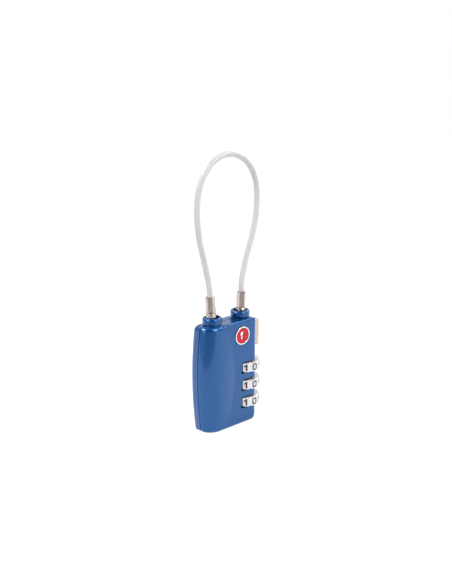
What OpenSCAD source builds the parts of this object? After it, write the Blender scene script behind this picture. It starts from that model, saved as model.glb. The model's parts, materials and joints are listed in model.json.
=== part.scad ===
// Three-dial cable padlock with a side release button and a key override.
// Frame: X to the right (towards the dials), Y to the rear, Z up.
// Origin: centre of the flat bottom face, on the seam plane of the two case halves.

/* [Case] */
// Height of the case from its bottom to its top face
body_h = 54.4; // [52:0.2:57]
// Left side of the case at its waist
waist_x = -19.5; // [-20.5:0.1:-19]
// How far the left side is bowed out at its waist
side_bow = 1.9; // [1:0.1:2.5]
// Flat right side of the case
right_x = 14.45; // [14.3:0.05:15]
// Half thickness of the flat panels
panel_y = 6.3; // [6.2:0.1:6.8]
// Half thickness at the crest of the bulge
bulge_y = 7.3; // [7.1:0.1:7.8]
// Width of the round that turns from the left side into the bulge
left_round = 9.2; // [8:0.2:10]
// Rounding of the flat back's top and side edges
back_r = 3.5; // [2.5:0.1:3.5]

/* [Dials] */
// Place of the dial axis along X
dial_x = 11.24; // [11:0.02:11.6]
// Height of the middle dial's centre
dial_mid_z = 20; // [19.6:0.1:20.4]
// Distance between two dials
dial_pitch = 9.2; // [9:0.1:9.6]
// Height of one dial
dial_h = 4.8; // [4.2:0.1:5]
// Radius of a dial
dial_r = 7.72; // [7.5:0.02:7.8]
// Height of the window that a dial turns in
window_h = 6.0; // [6:0.1:6.2]
// Left edge of the dial windows
window_x = 3.3; // [3:0.1:4.2]

/* [Cable ends] */
// Diameter of the cable with its clear jacket
cable_d = 3.4; // [3:0.1:3.6]
// Centre of the fixed end's collar along X
fixed_x = -10.02; // [-10.5:0.02:-9.6]
// Centre of the free end's collar along X
free_x = 8.15; // [7.9:0.05:8.4]
// Lean of the fixed end's fitting to the left, in degrees
fixed_lean = 4; // [0:0.5:4]
// Lean of the free end's fitting to the right, in degrees
free_lean = 2; // [0:0.5:2]
// Height of the fixed ferrule's top
fixed_top_z = 68.6; // [67:0.1:70]
// Height of the free ferrule's top
free_top_z = 67.1; // [66:0.1:69]

/* [Button] */
// Bottom of the release button
button_z = 37.7; // [37.5:0.1:38]
// Height of the release button
button_h = 13.5; // [12:0.5:13.5]
// Width of the release button across the case
button_w = 4.0; // [3.6:0.1:4]
// Outer face of the button
button_x = 19.5; // [18.5:0.1:19.5]
// Travel of the button
button_travel = 1.6; // [1:0.1:1.6]

/* [Key override] */
// Centre of the key cylinder along X
key_x = -9.5; // [-9.8:0.1:-9.2]
// Radius of the key cylinder's housing
key_housing_r = 5.4; // [5:0.1:5.4]
// Radius of the turning key plug
key_plug_r = 3.5; // [3.2:0.1:3.6]

/* [Hidden] */
$fn = 96;

fit = 0.05;         // radial clearance of a running fit
gap = 0.3;          // clearance round a piece that only sits in a pocket
big = 60;           // longer than any piece of the case

// Case
mid_z = body_h / 2;
bow_r = (mid_z * mid_z + side_bow * side_bow) / (2 * side_bow);
back_y = panel_y;   // place of the flat back
back_low_r = 0.9;   // rounding of the back's bottom edge
crown_r = 42;       // crown of the bulge, seen from above
barrel_r = 390;     // crown of the bulge, seen from the side
bulge_x = waist_x + left_round;     // crest of the bulge
edge_r = 1.6;       // rounding of the front's top and bottom edges

// Dials
flute_r = 0.75;     // radius of a flute between two numbers
flute_out = 0.35;   // centre of a flute, outside the dial's rim
pocket_r = dial_r + gap + 0.1;
dial_zs = [for (i = [-1 : 1]) dial_mid_z + i * dial_pitch];
window_rise = 0.35;     // centre of a window, above its dial's centre
clutch_r = 4.3;
clutch_floor_z = -2.35; // underside of a clutch, from its dial's centre
clutch_flange_r = 5.4;  // flange that lies on top of the dial
clutch_flange_t = 0.65;
gate_w = 1.4;           // gate in a clutch's floor, for the spindle's fin
detent_x = 2.2;         // left face of the detent spring
detent_t = 0.3;
detent_reach = 2.8;     // how far the detent spring runs past the outer dials' centres

// Spindle
spindle_r = 1.2;
spindle_low = 5.4;      // lower end of the spindle, on its spring
spindle_top = 35.4;     // foot of the collar under the spindle's cone
cone_z = 35.5;          // foot of the cone, level with the underside of the button's foot
cone_r = 1.9;
cone_h = 1.4;
fin_r = 2.35;
fin_z = 0.9;            // underside of a fin, above its dial's centre
fin_t = 0.8;
spindle_spring_z = 1.75;

// Ends of the cable
pin_r = 2.4;
socket_r = 3.05;
collar_top = 58;
collar_seat_r = 4.3;    // seat of a collar over the rounded edge of the back
fixed_pivot_z = 48.7;
free_pivot_z = 44;
plug_tip_z = 43;
latch_z = 45.8;
latch_t = 1.4;
latch_half_w = 3.7;
latch_left = -2.2;      // left end of the latch plate, where its spring pushes
latch_foot_z = 23.8;    // lower end of the latch's tail, at the key cam
spring_x = -5.85;       // fixed end of the button's spring
button_inner_x = 12.85; // inner face of the button, which meets the latch plate
flange_x = 13.25;       // outer face of the button's flange, which keeps it in the case
flange_half_w = 3.2;
foot_half_w = 1.5;      // foot of the button, over the spindle's cone
grip_r = 0.55;          // radius of a grip groove across the button

// Override
key_bottom = 0.9;
key_top = 22;
cam_z = 23.7;
cam_r = 3.2;
cam_t = 2;
cam_reach = 5;          // from the key's axis to the end of the cam's arm

// Badge
badge_x = 3.95;
badge_z = 46.9;
badge_r = 4.6;
badge_seat = 0.9;       // depth of the badge's seat in the panel
bezel_w = 0.6;

// Screws: places in X and Z, heads towards the rear
screw_places = [[-2.4, 49.4], [-12.6, 32.5], [0.2, 8.2]];
screw_r = 1.0;
screw_tip_y = -4;
head_r = 1.9;
head_y = 4.9;
head_t = 1.1;

// Reset slider in the rear panel
reset_low = 21.8;       // lower end of its plate
reset_high = 29.2;
reset_travel = 1.4;
nub_low = 23.1;
nub_high = 27.9;

// Route of the cable's centreline on the seam plane, as [x, z], from the fixed to the free end
route = [
    [-11.9, 74.1], [-13.5, 80.7], [-15.25, 87.8], [-17, 94.3], [-18.1, 100.1],
    [-18.75, 105.4], [-19, 110], [-18.4, 115.5], [-17.4, 120.5], [-15.7, 124.6],
    [-13.2, 128], [-10.4, 131], [-6.8, 133.2], [-2.7, 134.5], [2.2, 134.7],
    [6.7, 133.6], [10.8, 131.2], [14.1, 128.1], [16.9, 123.7], [18.6, 117.8],
    [19, 111.8], [18.7, 106], [17.65, 100.3], [15.8, 93.6], [12.9, 86],
    [10.8, 79.3], [9.1, 73]
];

// ---------- shared shapes ----------

function arc(cx, cy, r, from, to, steps) =
    [for (i = [0 : steps]) let (a = from + (to - from) * i / steps) [cx + r * cos(a), cy + r * sin(a)]];

function unit(v) = v / norm(v);

// Round tube through a list of points; the rings' sides follow the given up direction
module tube(points, r, sides, up) {
    last = len(points) - 1;
    rings = [for (i = [0 : last])
        let (t = unit(points[min(i + 1, last)] - points[max(i - 1, 0)]),
             n = unit(cross(up, t)), b = cross(t, n))
        for (k = [0 : sides - 1]) let (a = 360 * k / sides) points[i] + r * (cos(a) * n + sin(a) * b)];
    walls = [for (i = [0 : last - 1]) for (k = [0 : sides - 1])
        let (j = (k + 1) % sides, a = i * sides, b = a + sides)
        each [[a + k, b + k, b + j], [a + k, b + j, a + j]]];
    start = [for (k = [0 : sides - 1]) k];
    end = [for (k = [sides - 1 : -1 : 0]) last * sides + k];
    polyhedron(points = rings, faces = concat(walls, [start, end]), convexity = 8);
}

// Coil spring along Z from z = 0 to z = length
module coil_spring(coil_r, wire_r, length, turns) {
    steps = turns * 12;
    rise = length - 2 * wire_r;
    tube([for (i = [0 : steps]) [coil_r * cos(i * 30), coil_r * sin(i * 30), wire_r + rise * i / steps]],
         wire_r, 6, [0, 0, 1]);
}

// Stands its children on the leaning axis of the fixed or the free end, with z = 0 at the height z
module fixed_axis(z) {
    translate([fixed_x, 0, fixed_pivot_z]) rotate([0, -fixed_lean, 0])
        translate([0, 0, (z - fixed_pivot_z) / cos(fixed_lean)]) children();
}
module free_axis(z) {
    translate([free_x, 0, free_pivot_z]) rotate([0, free_lean, 0])
        translate([0, 0, (z - free_pivot_z) / cos(free_lean)]) children();
}

// Puts its children at the badge's place with +Z pointing out of the front panel
module on_badge() {
    translate([badge_x, -panel_y, badge_z]) rotate([90, 0, 0]) children();
}

// ---------- case ----------

// Front outline in X and Z
module case_outline() {
    bow_x = waist_x + bow_r;
    polygon(concat(
        arc(bow_x, mid_z, bow_r, 180 + asin((mid_z - 2) / bow_r), 180 - asin((mid_z - 1.2) / bow_r), 16),
        [[waist_x + side_bow + 1, body_h]],
        arc(right_x - 3.2, body_h - 3.2, 3.2, 90, 0, 8),
        arc(right_x - 3.5, 3.5, 3.5, 0, -90, 8),
        [[waist_x + side_bow + 2, 0]]));
}

// Outline of one half in depth and height, with its bottom and top edges rounded
module side_outline(depth, low_r, high_r) {
    polygon(concat([[0, 0]],
                   arc(depth - low_r, low_r, low_r, -90, 0, 6),
                   arc(depth - high_r, body_h - high_r, high_r, 0, 90, 6),
                   [[0, body_h]]));
}

// Section of one half at its panel, seen from above, with its right corner rounded to r
module panel_section(left, depth, r) {
    polygon(concat([[left, 0], [left, 3], [left + 6, depth]],
                   arc(right_x - r, depth - r, r, 90, 0, 8),
                   [[right_x, 0]]));
}

// Section of the bulge, seen from above: a quarter of an ellipse on the left, open to the right
module bulge_section() {
    half_y = bulge_y + 0.1;
    polygon(concat([[4, 0], [4, half_y]],
                   [for (p = arc(0, 0, 1, 90, 180, 16)) [bulge_x + left_round * p[0], half_y * p[1]]]));
}

// Barrel-shaped face of the bulge
module barrel() {
    translate([bulge_x, bulge_y - barrel_r, mid_z])
        rotate([0, 90, 0]) rotate_extrude($fn = 720)
            intersection() {
                translate([barrel_r - crown_r, 0]) circle(crown_r, $fn = 720);
                translate([barrel_r - 30, -15]) square([31, 30]);
            }
}

// What both halves share: the front outline, cut to one half's depth
module half_outline(depth, low_r, high_r) {
    intersection() {
        translate([0, big / 2, 0]) rotate([90, 0, 0]) linear_extrude(big) case_outline();
        translate([-big / 2, 0, 0]) rotate([90, 0, 90]) linear_extrude(big)
            side_outline(depth, low_r, high_r);
    }
}

// Half with the bulge, towards +Y
module bulged_half() {
    intersection() {
        half_outline(bulge_y, edge_r, edge_r);
        union() {
            linear_extrude(body_h) panel_section(bulge_x, panel_y, 3);
            intersection() {
                linear_extrude(body_h) bulge_section();
                barrel();
            }
        }
    }
}

// Half with the flat back; its rounded left edge follows the bowed side
module flat_half() {
    inner_r = bow_r - big;
    intersection() {
        half_outline(back_y, back_low_r, back_r);
        linear_extrude(body_h) panel_section(-big, back_y, back_r);
        translate([waist_x + bow_r, 0, mid_z]) rotate([-90, 0, 0]) rotate_extrude($fn = 720)
            polygon(concat([[inner_r, 0], [bow_r, 0]],
                           arc(bow_r - back_r, back_y - back_r, back_r, 0, 90, 8),
                           [[inner_r, back_y]]));
    }
    for (x = [fixed_x, free_x]) intersection() {
        translate([x, 0, body_h - back_r]) cylinder(r = collar_seat_r, h = back_r);
        block([-big, 0, 0], [big, big, big]);
    }
}

module block(from, to) {
    translate(from) cube(to - from);
}

module dial_pockets() {
    for (z = dial_zs) {
        low = z + window_rise - window_h / 2;
        translate([dial_x, 0, low]) cylinder(r = pocket_r, h = window_h);
        for (side = [0, 1]) mirror([0, side, 0])
            block([window_x, 4.3, low], [right_x + 1, 10, low + window_h]);
    }
    block([detent_x - 0.1, -2.4, dial_zs[0] - detent_reach - 0.2],
          [detent_x + 1.4, 2.4, dial_zs[2] + detent_reach + 0.2]);
}

module spindle_bores() {
    translate([dial_x, 0, spindle_spring_z - 0.05]) cylinder(r = spindle_r + 0.35, h = 3.6);
    translate([dial_x, 0, 5]) cylinder(r = spindle_r + fit, h = 30);
    translate([dial_x, 0, 9]) cylinder(r = fin_r + gap, h = 24);
    translate([dial_x, 0, cone_z - 2.1]) cylinder(r = cone_r + 0.2, h = cone_h + 2.4);
}

module button_pocket() {
    low = button_z - 0.1;
    high = button_z + button_h + 0.1;
    block([12, -button_w / 2 - 0.1, low], [right_x + 1, button_w / 2 + 0.1, high]);
    block([button_inner_x - button_travel - 0.45, -flange_half_w - 0.2, low],
          [flange_x + 0.05, flange_half_w + 0.2, high]);
    block([10.2, -foot_half_w - 0.2, cone_z - 0.2], [13.8, foot_half_w + 0.2, button_z]);
}

module latch_pocket() {
    left = latch_left - button_travel - 0.9;
    block([left, -latch_half_w - 0.3, latch_z - 0.15],
          [flange_x + 0.05, latch_half_w + 0.3, latch_z + latch_t + 0.15]);
    block([left, -2.4, latch_foot_z - 0.4], [-0.2, 2.4, latch_z]);
    translate([spring_x - 0.05, 0, latch_z + latch_t / 2]) rotate([0, 90, 0])
        cylinder(r = 1.7, h = latch_left - spring_x + 0.3);
}

module cable_end_bores() {
    translate([fixed_x, 0, 45.4]) cylinder(r = 4, h = 3.9);
    translate([fixed_x, 0, 49]) cylinder(r = 3.1, h = 6);
    translate([free_x, 0, 37.8]) cylinder(r = socket_r, h = 17);
    for (x = [fixed_x, free_x]) translate([x, 0, body_h - 1.5]) cylinder(r = 4, h = 2);
}

module key_bores() {
    translate([key_x, 0, -1]) cylinder(r = key_housing_r + 0.1, h = key_top + 1.1);
    translate([key_x, 0, key_top]) cylinder(r = cam_reach + 0.6, h = cam_z + cam_t + 0.6 - key_top);
}

module screw_bores() {
    for (p = screw_places) translate([p[0], 0, p[1]]) rotate([-90, 0, 0]) {
        translate([0, 0, screw_tip_y - 0.1]) cylinder(r = screw_r + 0.1, h = 12, $fn = 48);
        translate([0, 0, head_y]) cylinder(r = head_r + 0.2, h = 4, $fn = 48);
    }
}

module reset_pocket() {
    block([-1.3, 5, nub_low - 0.2], [1.3, 9, nub_high + reset_travel + 0.3]);
    block([-2, 3.4, reset_low - 0.2], [2, 5.1, reset_high + reset_travel + 0.3]);
}

// Lightening pocket in the bulge, between the override and the fixed end
module weight_pocket() {
    block([-14.4, -4.6, 38.2], [-6, 4.6, 43.6]);
}

module hollow() {
    dial_pockets();
    spindle_bores();
    button_pocket();
    latch_pocket();
    cable_end_bores();
    key_bores();
    screw_bores();
    reset_pocket();
    weight_pocket();
    on_badge() translate([0, 0, -badge_seat]) cylinder(r = badge_r + 0.1, h = 2);
}

module front_shell() {
    color("royalblue") difference() {
        mirror([0, 1, 0]) bulged_half();
        hollow();
    }
}

module rear_shell() {
    color("royalblue") difference() {
        flat_half();
        hollow();
    }
}

// Screws from the rear; each head sits in its counterbore and has a cross recess
module case_screws() {
    color("dimgray") for (p = screw_places) translate([p[0], 0, p[1]]) rotate([-90, 0, 0]) difference() {
        union() {
            translate([0, 0, screw_tip_y]) cylinder(r = screw_r, h = head_y + 0.6 - screw_tip_y, $fn = 48);
            translate([0, 0, head_y]) cylinder(r = head_r, h = head_t, $fn = 48);
        }
        for (a = [0, 90]) rotate([0, 0, a]) block([-1.2, -0.25, head_y + 0.5], [1.2, 0.25, 7]);
    }
}

// ---------- collars and badge ----------

module collar(bore) {
    rotate_extrude() polygon(concat(
        [[bore, -1.4], [3.9, -1.4], [3.9, 0.02], [4.35, 0.02], [4.35, 0.5], [4.8, 0.8]],
        arc(3.8, collar_top - body_h - 1, 1, 0, 90, 6),
        [[3.45, collar_top - body_h], [3.45, 0.8], [bore, 0.7]]));
}

module fixed_collar() {
    color("royalblue") translate([fixed_x, 0, body_h]) collar(3.1);
}

module socket_collar() {
    color("royalblue") translate([free_x, 0, body_h]) collar(socket_r);
}

module badge_bezel() {
    color("silver") on_badge() difference() {
        translate([0, 0, -badge_seat]) cylinder(r = badge_r, h = badge_seat + 0.4);
        translate([0, 0, -0.3]) cylinder(r = badge_r - bezel_w, h = 1);
    }
}

// Plain round enamel disc with a keyhole
module badge() {
    color("crimson") on_badge() difference() {
        translate([0, 0, -0.3]) cylinder(r = badge_r - bezel_w - fit, h = 0.5);
        translate([0, 0.6, 0]) cylinder(r = 1, h = 1);
        block([-0.45, -2, 0], [0.45, 0.6, 1]);
    }
}

// ---------- dials ----------

// Number wheel: ten places for numbers with a flute between each two
module dial(z) {
    translate([dial_x, 0, z]) difference() {
        translate([0, 0, -dial_h / 2]) cylinder(r = dial_r, h = dial_h);
        translate([0, 0, -dial_h]) cylinder(r = clutch_r + fit, h = 2 * dial_h);
        for (i = [0 : 9]) rotate([0, 0, 36 * i]) translate([dial_r + flute_out, 0, -dial_h])
            cylinder(r = flute_r, h = 2 * dial_h, $fn = 32);
    }
}

// Clutch inside a dial: a cup whose floor has the gate that the spindle's fin passes
module clutch(z) {
    flange_z = dial_h / 2 + 0.05;
    translate([dial_x, 0, z]) difference() {
        union() {
            translate([0, 0, clutch_floor_z]) cylinder(r = clutch_r, h = flange_z - clutch_floor_z);
            translate([0, 0, flange_z]) cylinder(r = clutch_flange_r, h = clutch_flange_t);
        }
        translate([0, 0, clutch_floor_z - 1]) cylinder(r = spindle_r + fit, h = 8);
        translate([0, 0, clutch_floor_z + 1]) cylinder(r = fin_r + gap, h = 8);
        block([0, -gate_w / 2, clutch_floor_z - 1], [fin_r + gap, gate_w / 2, 4]);
    }
}

module dial_top() { color("silver") dial(dial_zs[2]); }
module dial_middle() { color("silver") dial(dial_zs[1]); }
module dial_bottom() { color("silver") dial(dial_zs[0]); }
module clutch_top() { color("darkslategray") clutch(dial_zs[2]); }
module clutch_middle() { color("darkslategray") clutch(dial_zs[1]); }
module clutch_bottom() { color("darkslategray") clutch(dial_zs[0]); }

// Locking spindle: a fin over each clutch's gate, and a cone that the button's ramp pushes down
module spindle() {
    color("silver") translate([dial_x, 0, 0]) {
        translate([0, 0, spindle_low]) cylinder(r = spindle_r, h = spindle_top - spindle_low);
        translate([0, 0, cone_z - 0.3]) cylinder(r = cone_r, h = 0.3);
        translate([0, 0, cone_z]) cylinder(r1 = cone_r, r2 = cone_r - cone_h, h = cone_h);
        for (z = dial_zs) block([0, -0.5, z + fin_z], [fin_r, 0.5, z + fin_z + fin_t]);
    }
}

module spindle_spring() {
    color("gray") translate([dial_x, 0, spindle_spring_z])
        coil_spring(1.1, 0.2, spindle_low - 0.05 - spindle_spring_z, 4);
}

// Leaf spring with one bump for each dial
module detent_spring() {
    color("gray") {
        face_x = detent_x + detent_t;
        block([detent_x, -2, dial_zs[0] - detent_reach], [face_x, 2, dial_zs[2] + detent_reach]);
        for (z = dial_zs) intersection() {
            translate([face_x, 0, z - 1]) cylinder(r = 0.55, h = 2, $fn = 32);
            block([face_x, -1, z - 1], [face_x + 1.5, 1, z + 1]);
        }
    }
}

// ---------- button and latch ----------

module release_button() {
    half_w = button_w / 2;
    color("rosybrown") {
        difference() {
            block([button_inner_x, -half_w, button_z], [button_x, half_w, button_z + button_h]);
            for (i = [-2 : 2]) translate([button_x + 0.35, -half_w - 1, button_z + button_h / 2 + 1.5 * i])
                rotate([-90, 0, 0]) cylinder(r = grip_r, h = button_w + 2, $fn = 32);
        }
        block([button_inner_x, -flange_half_w, button_z], [flange_x, flange_half_w, button_z + button_h]);
        button_ramp();
    }
}

// Foot of the button whose 45 degree face slides on the spindle's cone
module button_ramp() {
    ramp_x = dial_x + cone_r + 0.05;
    rise = cone_h - 0.1;
    top = button_z + 0.3;
    translate([0, foot_half_w, 0]) rotate([90, 0, 0]) linear_extrude(2 * foot_half_w) polygon([
        [ramp_x, cone_z], [ramp_x - rise, cone_z + rise], [ramp_x - rise, cone_z + rise + 0.3],
        [button_inner_x, top], [13.6, top], [13.6, cone_z]]);
}

// Forked plate round the plug, with a tail that reaches down to the key cam
module latch_slider() {
    edge_x = free_x - pin_r - 0.25;
    color("darkkhaki") {
        block([latch_left, -latch_half_w, latch_z], [edge_x, latch_half_w, latch_z + latch_t]);
        for (side = [0, 1]) mirror([0, side, 0])
            block([edge_x, pin_r + 0.35, latch_z], [button_inner_x, latch_half_w, latch_z + latch_t]);
        block([latch_left, -2, latch_foot_z + 1.2], [latch_left + 1.4, 2, latch_z]);
        block([latch_left - 0.7, -2, latch_foot_z], [latch_left + 1.4, 2, latch_foot_z + 1.8]);
    }
}

module button_spring() {
    color("gray") translate([spring_x, 0, latch_z + latch_t / 2]) rotate([0, 90, 0])
        coil_spring(1.2, 0.22, latch_left - spring_x - 0.05, 4);
}

// ---------- cable and its ends ----------

// Pin of the fixed end; its flange is held in the case
module anchor_pin() {
    color("silver") {
        fixed_axis(46) cylinder(r = 2.2, h = 9.5);
        fixed_axis(47) cylinder(r = 3.3, h = 1.4);
    }
}

// Wide band at the foot, a crimped part with six flats above it
module ferrule(height) {
    band = 4.2;
    cylinder(r = 2.55, h = band);
    translate([0, 0, band]) intersection() {
        cylinder(r = 2.35, h = height - band);
        rotate([0, 0, 15]) cylinder(r = 2.5, h = height - band, $fn = 6);
    }
}

fixed_ferrule_z = 46 + 9.5 * cos(fixed_lean);
free_ferrule_z = plug_tip_z + 12.4 * cos(free_lean);

module fixed_ferrule() {
    color("rosybrown") fixed_axis(fixed_ferrule_z) ferrule((fixed_top_z - fixed_ferrule_z) / cos(fixed_lean));
}

module free_ferrule() {
    color("rosybrown") free_axis(free_ferrule_z) ferrule((free_top_z - free_ferrule_z) / cos(free_lean));
}

// Cable loop on the seam plane, ending square on the ferrules' top faces
module cable() {
    fixed_end = [fixed_x - (fixed_top_z - fixed_pivot_z) * tan(fixed_lean), fixed_top_z];
    free_end = [free_x + (free_top_z - free_pivot_z) * tan(free_lean), free_top_z];
    fixed_dir = [-sin(fixed_lean), cos(fixed_lean)];
    free_dir = [sin(free_lean), cos(free_lean)];
    line = concat([fixed_end, fixed_end + 1.5 * fixed_dir], route, [free_end + 1.5 * free_dir, free_end]);
    color("gainsboro") tube([for (p = line) [p[0], 0, p[1]]], cable_d / 2, 8, [0, 1, 0]);
}

// Plug of the free end, with the groove that the latch enters
module plug_pin() {
    color("silver") free_axis(plug_tip_z) rotate_extrude() polygon([
        [0, 0], [pin_r - 0.8, 0], [pin_r, 0.8], [pin_r, 2.3], [1.7, 2.6], [1.7, 4.7], [pin_r, 5],
        [pin_r, 12.4], [0, 12.4]]);
}

// Sprung cup that pushes the plug out
module ejector_cup() {
    color("khaki") translate([free_x, 0, 39.6]) difference() {
        cylinder(r = socket_r - 0.07, h = 3.1);
        translate([0, 0, -1]) cylinder(r = 2.5, h = 3.1);
    }
}

module ejector_spring() {
    color("gray") translate([free_x, 0, 37.9]) coil_spring(2.0, 0.25, 3.7, 3);
}

// ---------- key override and reset ----------

module key_housing() {
    color("silver") translate([key_x, 0, key_bottom]) difference() {
        cylinder(r = key_housing_r, h = key_top - key_bottom);
        translate([0, 0, -1]) cylinder(r = key_plug_r + fit, h = 30);
    }
}

wafer_zs = [for (i = [0 : 5]) 4.2 + 2.4 * i];

module key_plug() {
    color("silver") translate([key_x, 0, 0]) difference() {
        translate([0, 0, key_bottom]) cylinder(r = key_plug_r, h = cam_z - key_bottom);
        block([-2.6, -0.6, 0], [2.6, 0.6, 18.5]);
        block([0.8, -1.3, 0], [1.8, 0.6, 18.5]);
        for (z = wafer_zs) block([-2.4, -2.3, z - 0.05], [2.4, 2.3, z + 0.95]);
    }
}

// Wafer tumblers, each a plate with a window for the key
module key_wafers() {
    color("goldenrod") translate([key_x, 0, 0]) for (z = wafer_zs) difference() {
        block([-2.35, -2.25, z], [2.35, 2.25, z + 0.9]);
        block([-1.5, -1.1, z - 1], [1.5, 1.1, z + 2]);
    }
}

module key_cam() {
    color("khaki") translate([key_x, 0, cam_z]) {
        cylinder(r = cam_r, h = cam_t);
        block([-cam_reach, -1.2, 0], [0, 1.2, cam_t]);
    }
}

// Reset slider in the rear panel, with a nub that a pin or nail moves
module reset_slider() {
    color("dimgray") {
        block([-1.8, 3.6, reset_low], [1.8, 4.9, reset_high]);
        block([-1.1, 4.9, nub_low], [1.1, back_y - 0.2, nub_high]);
    }
}

front_shell();
rear_shell();
fixed_collar();
socket_collar();
badge_bezel();
badge();
case_screws();
dial_top();
dial_middle();
dial_bottom();
clutch_top();
clutch_middle();
clutch_bottom();
spindle();
spindle_spring();
detent_spring();
release_button();
latch_slider();
button_spring();
anchor_pin();
fixed_ferrule();
cable();
free_ferrule();
plug_pin();
ejector_cup();
ejector_spring();
key_housing();
key_plug();
key_wafers();
key_cam();
reset_slider();
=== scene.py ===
"""Three-dial cable padlock: the visible model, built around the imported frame.

Lengths are in millimetres, and SCALE turns them into metres where a mesh is made.
The moulded pieces are distance fields, which surface_net() turns into quads.
"""

import json
import math

import bpy
import numpy as np
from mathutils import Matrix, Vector


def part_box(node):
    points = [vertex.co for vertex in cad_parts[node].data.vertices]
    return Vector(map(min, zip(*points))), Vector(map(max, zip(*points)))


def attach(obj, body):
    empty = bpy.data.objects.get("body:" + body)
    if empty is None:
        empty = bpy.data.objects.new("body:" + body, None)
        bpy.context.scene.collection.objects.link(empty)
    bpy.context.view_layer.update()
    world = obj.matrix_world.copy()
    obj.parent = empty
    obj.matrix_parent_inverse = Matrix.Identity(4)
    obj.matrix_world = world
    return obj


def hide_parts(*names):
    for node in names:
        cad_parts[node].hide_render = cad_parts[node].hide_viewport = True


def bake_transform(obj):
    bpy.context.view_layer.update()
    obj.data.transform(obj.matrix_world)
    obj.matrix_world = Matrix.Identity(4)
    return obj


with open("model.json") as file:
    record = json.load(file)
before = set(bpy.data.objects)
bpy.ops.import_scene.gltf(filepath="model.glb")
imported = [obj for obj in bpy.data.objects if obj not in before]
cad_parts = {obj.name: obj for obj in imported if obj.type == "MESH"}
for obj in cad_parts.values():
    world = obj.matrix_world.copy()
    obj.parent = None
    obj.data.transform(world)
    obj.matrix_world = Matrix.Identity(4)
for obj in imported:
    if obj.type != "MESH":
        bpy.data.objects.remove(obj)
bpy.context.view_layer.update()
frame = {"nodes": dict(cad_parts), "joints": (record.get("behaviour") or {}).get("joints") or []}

SCALE = 0.001


def corners(node):
    """Lowest and highest corner of a CAD node, in millimetres."""
    low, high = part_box(node)
    return np.array(low) / SCALE, np.array(high) / SCALE


def joint_place(name):
    """A point on a joint's axis, in millimetres."""
    return next(np.array(j["pos_m"]) / SCALE for j in frame["joints"] if j["name"] == name)


# ---------- sizes, in millimetres ----------

CASE_LOW, CASE_HIGH = corners("front_shell")
BODY_H = CASE_HIGH[2]
MID_Z = BODY_H / 2
WAIST_X = CASE_LOW[0]
RIGHT_X = CASE_HIGH[0]
CREST_Y = -CASE_LOW[1]      # from the seam to the crest of the bulge
PANEL_Y = 6.3               # from the seam to the flat front panel, and to the flat back
SIDE_BOW = 1.9              # how far the left side is bowed out
CORNER_R = 3.5              # corners of the case, seen from the front
BACK_R = 3.4                # rounding of the flat back's left edge
CROWN_R = 42.0              # crown of the bulge, seen from above
LIP_Z = BODY_H - 1.35       # lower edge of the lip along the panel's top
LIP_Y = 0.4                 # how far the lip stands out at its left end
SEAM_R = 0.3                # rounding of the halves' edges at the seam
SEAM_GAP = 0.3              # shadow gap between the halves

DIALS = {name: joint_place(name + "_spin")[2] for name in ("dial_bottom", "dial_middle", "dial_top")}
DIAL_LOW, DIAL_HIGH = corners("dial_top")
DIAL_X = joint_place("dial_top_spin")[0]
DIAL_R = DIAL_HIGH[1]
DIAL_H = DIAL_HIGH[2] - DIAL_LOW[2]
BORE_R = 4.35               # bore of a dial, round its clutch
FLUTE_R = 0.75
FLUTE_OUT = 0.35            # centre of a flute, outside the dial's rim
PEN_HALF = 0.39             # half the width of a digit's strokes
PLATE_HALF = 0.05           # half the thickness of a digit's plate
DIAL_GAP = 0.4              # between a dial and its pocket in the case
WINDOW_X = 3.6              # left edge of the dial windows
WINDOW_DROP = 2.65          # from a dial's centre down to its window's lower edge
WINDOW_RISE = 3.35

COLLAR_R = 4.8
COLLAR_TOP = corners("fixed_collar")[1][2]
FIXED_X = corners("fixed_collar")[0][0] + COLLAR_R
FREE_X = corners("socket_collar")[0][0] + COLLAR_R
PIN_R = 3.1                 # bore of the collars
FIXED_END = (FIXED_X, 48.7, math.radians(-4), 68.6)     # x, pivot z, lean and top of the fixed fitting
FREE_END = (FREE_X, 44.0, math.radians(2), 67.1)
FERRULE_H = 13.1

BUTTON_LOW, BUTTON_HIGH = corners("release_button")
BUTTON_Z = BUTTON_HIGH[2] - 13.5
BUTTON_W = 4.0
LATCH_Z = 45.8
KEY_X = joint_place("key_turn")[0]
KEY_HOUSING_R = 5.4
BADGE_X, BADGE_Z, BADGE_R = 3.95, 46.9, 4.6
SCREWS = ((-2.4, 49.4), (-12.6, 32.5), (0.2, 8.2))

CABLE_D = 3.4
ROUTE = [
    (-11.9, 74.1), (-13.5, 80.7), (-15.25, 87.8), (-17, 94.3), (-18.1, 100.1),
    (-18.75, 105.4), (-19, 110), (-18.4, 115.5), (-17.4, 120.5), (-15.7, 124.6),
    (-13.2, 128), (-10.4, 131), (-6.8, 133.2), (-2.7, 134.5), (2.2, 134.7),
    (6.7, 133.6), (10.8, 131.2), (14.1, 128.1), (16.9, 123.7), (18.6, 117.8),
    (19, 111.8), (18.7, 106), (17.65, 100.3), (15.8, 93.6), (12.9, 86),
    (10.8, 79.3), (9.1, 73),
]


# ---------- camera ----------

def make_camera():
    """Camera to the left of the front and a little above, as in the photograph."""
    azimuth, elevation, distance = math.radians(41.91), math.radians(16.51), 0.42025
    target = Vector((-0.0011, 0, 0.0686))
    back = Vector((-math.sin(azimuth) * math.cos(elevation), -math.cos(azimuth) * math.cos(elevation),
                   math.sin(elevation)))
    data = bpy.data.cameras.new("camera")
    data.lens = 53.82
    camera = bpy.data.objects.new("camera", data)
    camera.location = target + back * distance
    camera.rotation_euler = back.to_track_quat("Z", "Y").to_euler()
    bpy.context.scene.collection.objects.link(camera)
    bpy.context.scene.camera = camera


# ---------- materials ----------

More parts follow.
